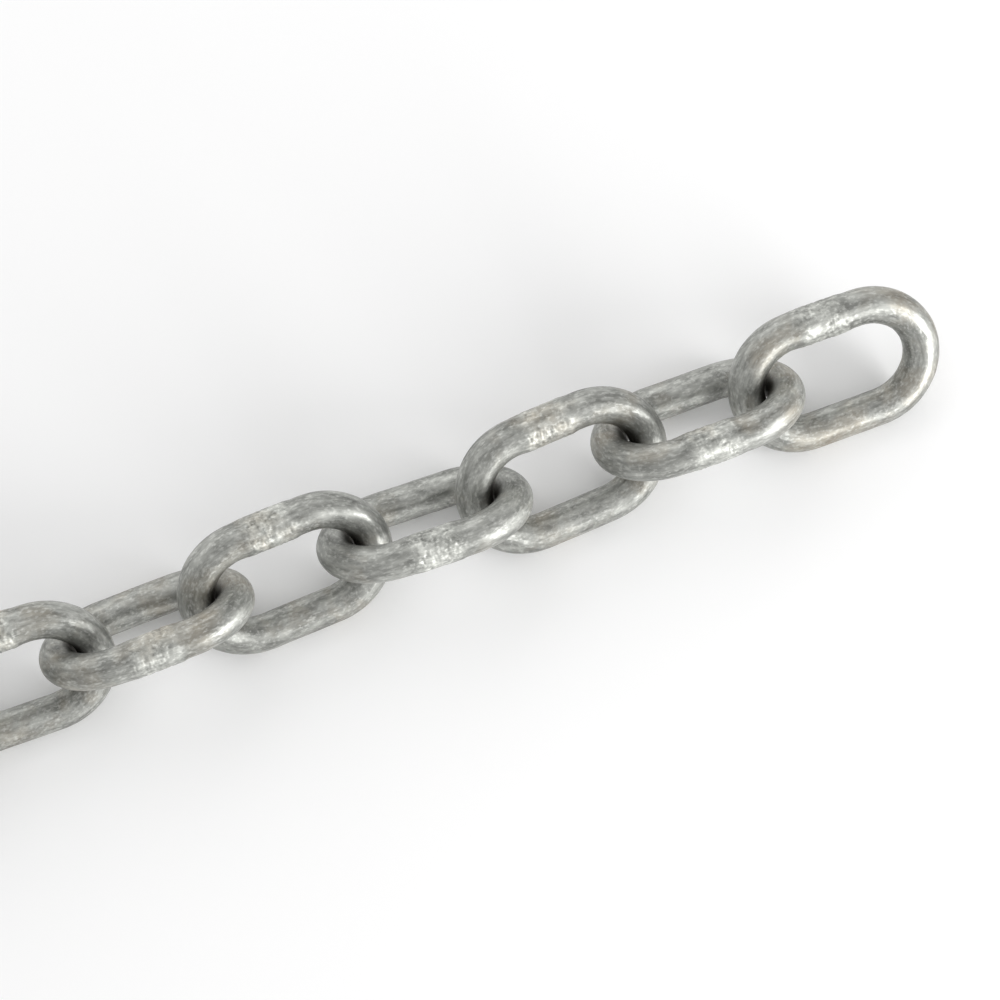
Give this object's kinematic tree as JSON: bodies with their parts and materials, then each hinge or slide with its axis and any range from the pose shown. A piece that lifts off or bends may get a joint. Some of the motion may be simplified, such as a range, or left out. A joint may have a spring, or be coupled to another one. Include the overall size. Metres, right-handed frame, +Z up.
{
  "type": "steel link chain",
  "caption": "Straight run of welded oval links in round galvanised steel bar, each link swinging on the end bar of the one before it.",
  "frame": {"origin": "middle of the run's box, on the surface it lies on", "axes": "+X along the run towards link_01, the end that the picture shows; +Y to the back; +Z up"},
  "size_m": [1.0076, 0.0358, 0.0345],
  "materials": {
    "zinc": "dull hot dip galvanised zinc, lightly mottled"
  },
  "bodies": {
    "link_01": {"link_01": "zinc"},
    "link_02": {"link_02": "zinc"},
    "link_03": {"link_03": "zinc"},
    "link_04": {"link_04": "zinc"},
    "link_05": {"link_05": "zinc"},
    "link_06": {"link_06": "zinc"},
    "link_07": {"link_07": "zinc"},
    "link_08": {"link_08": "zinc"},
    "link_09": {"link_09": "zinc"},
    "link_10": {"link_10": "zinc"},
    "link_11": {"link_11": "zinc"},
    "link_12": {"link_12": "zinc"},
    "link_13": {"link_13": "zinc"},
    "link_14": {"link_14": "zinc"},
    "link_15": {"link_15": "zinc"},
    "link_16": {"link_16": "zinc"},
    "link_17": {"link_17": "zinc"},
    "link_18": {"link_18": "zinc"},
    "link_19": {"link_19": "zinc"},
    "link_20": {"link_20": "zinc"},
    "link_21": {"link_21": "zinc"},
    "link_22": {"link_22": "zinc"},
    "link_23": {"link_23": "zinc"},
    "link_24": {"link_24": "zinc"},
    "link_25": {"link_25": "zinc"}
  },
  "joints": [
    {"name": "swing_01_02", "type": "hinge", "parent": "link_01", "child": "link_02", "pos_m": [0.44885, -0.00003, 0.01558], "axis": [0.0109, 0.7293, 0.6841], "range_deg": [-90, 90]},
    {"name": "swing_02_03", "type": "hinge", "parent": "link_02", "child": "link_03", "pos_m": [0.40936, 0.00059, 0.0159], "axis": [-0.0111, -0.707, 0.7071], "range_deg": [-90, 90]},
    {"name": "swing_03_04", "type": "hinge", "parent": "link_03", "child": "link_04", "pos_m": [0.36989, -0.00094, 0.01628], "axis": [0.0264, -0.6836, -0.7293], "range_deg": [-90, 90]},
    {"name": "swing_04_05", "type": "hinge", "parent": "link_04", "child": "link_05", "pos_m": [0.33042, 0.00074, 0.01661], "axis": [0.0282, 0.6618, -0.7491], "range_deg": [-90, 90]},
    {"name": "swing_05_06", "type": "hinge", "parent": "link_05", "child": "link_06", "pos_m": [0.29093, -0.00027, 0.01687], "axis": [-0.0165, 0.6437, 0.7651], "range_deg": [-90, 90]},
    {"name": "swing_06_07", "type": "hinge", "parent": "link_06", "child": "link_07", "pos_m": [0.25143, -0.00042, 0.01705], "axis": [0.0024, -0.6305, 0.7762], "range_deg": [-90, 90]},
    {"name": "swing_07_08", "type": "hinge", "parent": "link_07", "child": "link_08", "pos_m": [0.21195, 0.00082, 0.01714], "axis": [-0.0196, -0.6231, -0.7819], "range_deg": [-90, 90]},
    {"name": "swing_08_09", "type": "hinge", "parent": "link_08", "child": "link_09", "pos_m": [0.17249, -0.0009, 0.01714], "axis": [-0.0272, 0.6228, -0.7819], "range_deg": [-90, 90]},
    {"name": "swing_09_10", "type": "hinge", "parent": "link_09", "child": "link_10", "pos_m": [0.13301, 0.00046, 0.01705], "axis": [0.0217, 0.6301, 0.7762], "range_deg": [-90, 90]},
    {"name": "swing_10_11", "type": "hinge", "parent": "link_10", "child": "link_11", "pos_m": [0.09352, 0.00013, 0.01687], "axis": [0.0054, -0.6439, 0.7651], "range_deg": [-90, 90]},
    {"name": "swing_11_12", "type": "hinge", "parent": "link_11", "child": "link_12", "pos_m": [0.05402, -0.00073, 0.01661], "axis": [0.0145, -0.6623, -0.7491], "range_deg": [-90, 90]},
    {"name": "swing_12_13", "type": "hinge", "parent": "link_12", "child": "link_13", "pos_m": [0.01456, 0.00089, 0.01628], "axis": [0.0282, 0.6836, -0.7293], "range_deg": [-90, 90]},
    {"name": "swing_13_14", "type": "hinge", "parent": "link_13", "child": "link_14", "pos_m": [-0.02491, -0.0007, 0.0159], "axis": [-0.0286, 0.7065, 0.7071], "range_deg": [-90, 90]},
    {"name": "swing_14_15", "type": "hinge", "parent": "link_14", "child": "link_15", "pos_m": [-0.0644, 0.00008, 0.01558], "axis": [-0.0144, -0.7292, 0.6841], "range_deg": [-90, 90]},
    {"name": "swing_15_16", "type": "hinge", "parent": "link_15", "child": "link_16", "pos_m": [-0.1039, 0.0005, 0.01527], "axis": [-0.0079, -0.7491, -0.6624], "range_deg": [-90, 90]},
    {"name": "swing_16_17", "type": "hinge", "parent": "link_16", "child": "link_17", "pos_m": [-0.14337, -0.00092, 0.01499], "axis": [-0.0273, 0.7646, -0.644], "range_deg": [-90, 90]},
    {"name": "swing_17_18", "type": "hinge", "parent": "link_17", "child": "link_18", "pos_m": [-0.18284, 0.0008, 0.0148], "axis": [0.0337, 0.7755, 0.6305], "range_deg": [-90, 90]},
    {"name": "swing_18_19", "type": "hinge", "parent": "link_18", "child": "link_19", "pos_m": [-0.22232, -0.00038, 0.01469], "axis": [0.0233, -0.7815, 0.6234], "range_deg": [-90, 90]},
    {"name": "swing_19_20", "type": "hinge", "parent": "link_19", "child": "link_20", "pos_m": [-0.26182, -0.00032, 0.01469], "axis": [-0.0012, -0.7819, -0.6234], "range_deg": [-90, 90]},
    {"name": "swing_20_21", "type": "hinge", "parent": "link_20", "child": "link_21", "pos_m": [-0.3013, 0.00077, 0.0148], "axis": [0.0213, 0.7759, -0.6305], "range_deg": [-90, 90]},
    {"name": "swing_21_22", "type": "hinge", "parent": "link_21", "child": "link_22", "pos_m": [-0.34077, -0.00093, 0.01499], "axis": [-0.0329, 0.7644, 0.644], "range_deg": [-90, 90]},
    {"name": "swing_22_23", "type": "hinge", "parent": "link_22", "child": "link_23", "pos_m": [-0.38024, 0.00055, 0.01527], "axis": [-0.028, -0.7486, 0.6624], "range_deg": [-90, 90]},
    {"name": "swing_23_24", "type": "hinge", "parent": "link_23", "child": "link_24", "pos_m": [-0.41974, 0.00002, 0.01558], "axis": [0.0098, -0.7293, -0.6841], "range_deg": [-90, 90]},
    {"name": "swing_24_25", "type": "hinge", "parent": "link_24", "child": "link_25", "pos_m": [-0.45923, -0.00066, 0.0159], "axis": [-0.0121, 0.707, -0.7071], "range_deg": [-90, 90]}
  ]
}
